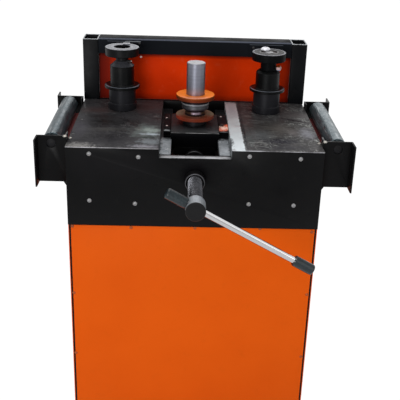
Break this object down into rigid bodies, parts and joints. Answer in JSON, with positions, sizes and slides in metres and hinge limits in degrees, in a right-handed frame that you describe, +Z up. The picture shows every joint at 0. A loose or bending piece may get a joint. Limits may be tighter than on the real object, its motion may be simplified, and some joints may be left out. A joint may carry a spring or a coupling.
{
  "type": "electric pipe bender",
  "caption": "Floor-standing three-roller pipe bender: steel table on a sheet cabinet, driven rear spindles, and a screw-fed carriage with a sliding tommy bar.",
  "frame": {"origin": "on the floor, at the middle of the whole outline seen from above", "axes": "+Z up, +Y to the back, towards the backboard; +X to the right when facing the handle"},
  "size_m": [0.802, 0.7336, 1.039],
  "materials": {
    "orange_paint": "gloss",
    "black_paint": "semi-gloss",
    "table_steel": "oiled and worn",
    "bright_steel": "satin",
    "dark_steel": "blackened",
    "galvanised": "zinc plated",
    "chrome": "polished",
    "grip_plastic": "matte",
    "worn_orange": "worn",
    "motor_grey": "semi-gloss",
    "bronze": "turned",
    "light_enamel": "matte",
    "gland_nylon": "matte"
  },
  "bodies": {
    "frame": {"base_plate": "black_paint", "front_left_post": "black_paint", "front_right_post": "black_paint", "rear_left_post": "black_paint", "rear_right_post": "black_paint", "lower_rear_rail": "black_paint", "top_rail": "black_paint", "backboard_panel": "orange_paint", "table_plate_left": "table_steel", "table_plate_right": "table_steel", "guide_rail_left": "table_steel", "guide_rail_right": "table_steel", "front_crossbar": "table_steel", "lead_nut": "bronze", "front_apron": "black_paint", "front_panel": "orange_paint", "left_panel": "orange_paint", "right_panel": "orange_paint", "rear_panel": "orange_paint", "front_left_bracket": "black_paint", "front_right_bracket": "black_paint", "rear_left_bracket": "black_paint", "rear_right_bracket": "black_paint", "left_roller_axle": "bright_steel", "right_roller_axle": "bright_steel", "left_bearing_housing": "dark_steel", "right_bearing_housing": "dark_steel", "gear_deck": "black_paint", "gearbox": "dark_steel", "motor_housing": "motor_grey", "electrical_box": "light_enamel", "cable_gland": "gland_nylon"},
    "carriage": {"carriage_block": "table_steel", "left_gib_strip": "table_steel", "right_gib_strip": "table_steel", "keeper_block": "dark_steel", "thrust_collar": "dark_steel"},
    "lead_screw": {"lead_screw": "dark_steel", "handle_hub": "dark_steel"},
    "tommy_bar": {"tommy_bar": "chrome", "inner_grip": "grip_plastic", "outer_grip": "grip_plastic"},
    "centre_spindle": {"centre_shaft": "bright_steel", "centre_lower_flange": "worn_orange", "centre_roller_hub": "bright_steel", "centre_upper_flange": "worn_orange"},
    "left_spindle": {"left_spindle_shaft": "bright_steel", "left_spindle_roller": "dark_steel", "left_flanged_sleeve": "dark_steel", "left_clamp_nut": "dark_steel", "left_spindle_gear": "dark_steel"},
    "right_spindle": {"right_spindle_shaft": "bright_steel", "right_spindle_roller": "dark_steel", "right_flanged_sleeve": "dark_steel", "right_clamp_nut": "dark_steel", "right_spindle_gear": "dark_steel"},
    "drive": {"drive_gear": "dark_steel", "output_shaft": "bright_steel"},
    "left_roller": {"left_roller_tube": "galvanised"},
    "right_roller": {"right_roller_tube": "galvanised"}
  },
  "joints": [
    {"name": "carriage_slide", "type": "slide", "parent": "frame", "child": "carriage", "axis": [0, 1, 0], "range_m": [-0.078, 0.066]},
    {"name": "screw_turn", "type": "hinge", "parent": "carriage", "child": "lead_screw", "pos_m": [0, -0.1578, 0.7815], "axis": [0, 1, 0], "range_deg": [-4680, 3960]},
    {"name": "bar_slide", "type": "slide", "parent": "lead_screw", "child": "tommy_bar", "axis": [-0.8763, 0, 0.4817], "range_m": [0, 0.248]},
    {"name": "drive_gear_turn", "type": "hinge", "parent": "frame", "child": "drive", "pos_m": [0, 0.1872, 0.71], "axis": [0, 0, 1], "continuous": true},
    {"name": "left_spindle_turn", "type": "hinge", "parent": "frame", "child": "left_spindle", "pos_m": [-0.207, 0.1872, 0.86], "axis": [0, 0, 1], "continuous": true},
    {"name": "right_spindle_turn", "type": "hinge", "parent": "frame", "child": "right_spindle", "pos_m": [0.207, 0.1872, 0.86], "axis": [0, 0, 1], "continuous": true},
    {"name": "centre_spindle_turn", "type": "hinge", "parent": "carriage", "child": "centre_spindle", "pos_m": [0, 0.0712, 0.86], "axis": [0, 0, 1], "continuous": true},
    {"name": "left_roller_turn", "type": "hinge", "parent": "frame", "child": "left_roller", "pos_m": [-0.364, 0, 0.856], "axis": [0, 1, 0], "continuous": true},
    {"name": "right_roller_turn", "type": "hinge", "parent": "frame", "child": "right_roller", "pos_m": [0.364, 0, 0.856], "axis": [0, 1, 0], "continuous": true}
  ],
  "couplings": [
    {"joint": "carriage_slide", "follows": "screw_turn", "m_per_rad": 0.00095493},
    {"joint": "left_spindle_turn", "follows": "drive_gear_turn", "ratio": -1.1562},
    {"joint": "right_spindle_turn", "follows": "drive_gear_turn", "ratio": -1.1562}
  ]
}
